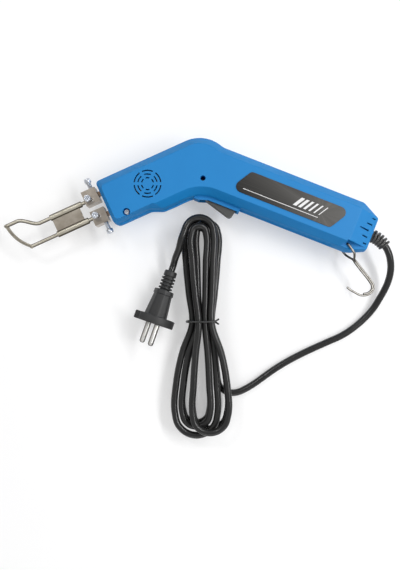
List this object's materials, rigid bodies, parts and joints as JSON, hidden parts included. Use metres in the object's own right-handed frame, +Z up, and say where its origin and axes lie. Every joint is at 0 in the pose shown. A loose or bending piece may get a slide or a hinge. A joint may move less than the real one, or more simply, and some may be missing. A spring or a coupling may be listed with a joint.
{
  "type": "electric hot knife",
  "caption": "Hand held electric hot knife with an angled housing, trigger, clamped heated blade loop, hanging hook, and a mains lead tied in a hank with its plug.",
  "frame": {"origin": "centre of the round head, on the flat face that the tool lies on", "axes": "+X from the blade to the handle's end, +Z up from the face it lies on, +Y towards the top of the head"},
  "size_m": [0.3439, 0.2632, 0.0426],
  "materials": {
    "housing_plastic": "satin",
    "zinc_screw": "zinc plated",
    "label_metal": "dark brushed",
    "trigger_plastic": "satin",
    "steel": "bright",
    "dark_plastic": "matte",
    "pale_plastic": "matte",
    "brass": "bright",
    "core_iron": "varnished plates",
    "copper_wire": "enamelled",
    "copper": "bright",
    "insulation": "matte",
    "nickel": "nickel plated",
    "blade_steel": "heat darkened",
    "cord_plastic": "smooth",
    "red_wire": "smooth",
    "black_wire": "smooth",
    "blue_wire": "smooth",
    "tie_wire": "smooth",
    "plug_plastic": "smooth"
  },
  "bodies": {
    "housing": {"left_shell": "housing_plastic", "right_shell": "housing_plastic", "shell_screws": "zinc_screw", "label_plate": "label_metal", "trigger_pin": "steel", "trigger_spring": "steel", "switch_body": "dark_plastic", "switch_tabs": "brass", "transformer_core": "core_iron", "core_strap": "steel", "bobbin": "pale_plastic", "primary_coil": "copper_wire", "conductor_bar": "copper", "nose_insulator": "insulation", "upper_clamp_block": "nickel", "lower_clamp_block": "nickel", "block_screws": "zinc_screw", "side_screws": "zinc_screw", "blade_sleeve": "nickel", "upper_rod": "nickel", "lower_rod": "nickel", "cutting_strip": "blade_steel", "strain_relief": "cord_plastic", "cord_tail": "cord_plastic", "cord_clamp": "dark_plastic", "clamp_screws": "zinc_screw", "live_lead": "red_wire", "switch_lead": "black_wire", "neutral_lead": "blue_wire", "supply_cord": "cord_plastic", "cord_hank": "cord_plastic", "hank_tie": "tie_wire", "plug_lead": "cord_plastic", "plug_body": "plug_plastic", "plug_pins": "nickel"},
    "trigger": {"trigger": "trigger_plastic"},
    "button": {"switch_button": "pale_plastic"},
    "hook": {"hook": "steel"}
  },
  "joints": [
    {"name": "trigger_hinge", "type": "hinge", "parent": "housing", "child": "trigger", "pos_m": [0.00744, -0.01527, 0.021], "axis": [0, 0, 1], "range_deg": [0, 8], "stiffness_Nm_per_rad": 0.5, "springref_deg": -5.73, "deforming": ["trigger_spring"]},
    {"name": "button_slide", "type": "slide", "parent": "housing", "child": "button", "axis": [0.3649, 0.9311, 0], "range_m": [0, 0.002]},
    {"name": "hook_hinge", "type": "hinge", "parent": "housing", "child": "hook", "pos_m": [0.12615, -0.06179, 0.021], "axis": [0, 0, 1], "range_deg": [-95, 5]}
  ],
  "couplings": [
    {"joint": "button_slide", "follows": "trigger_hinge", "m_per_rad": 0.0135}
  ]
}
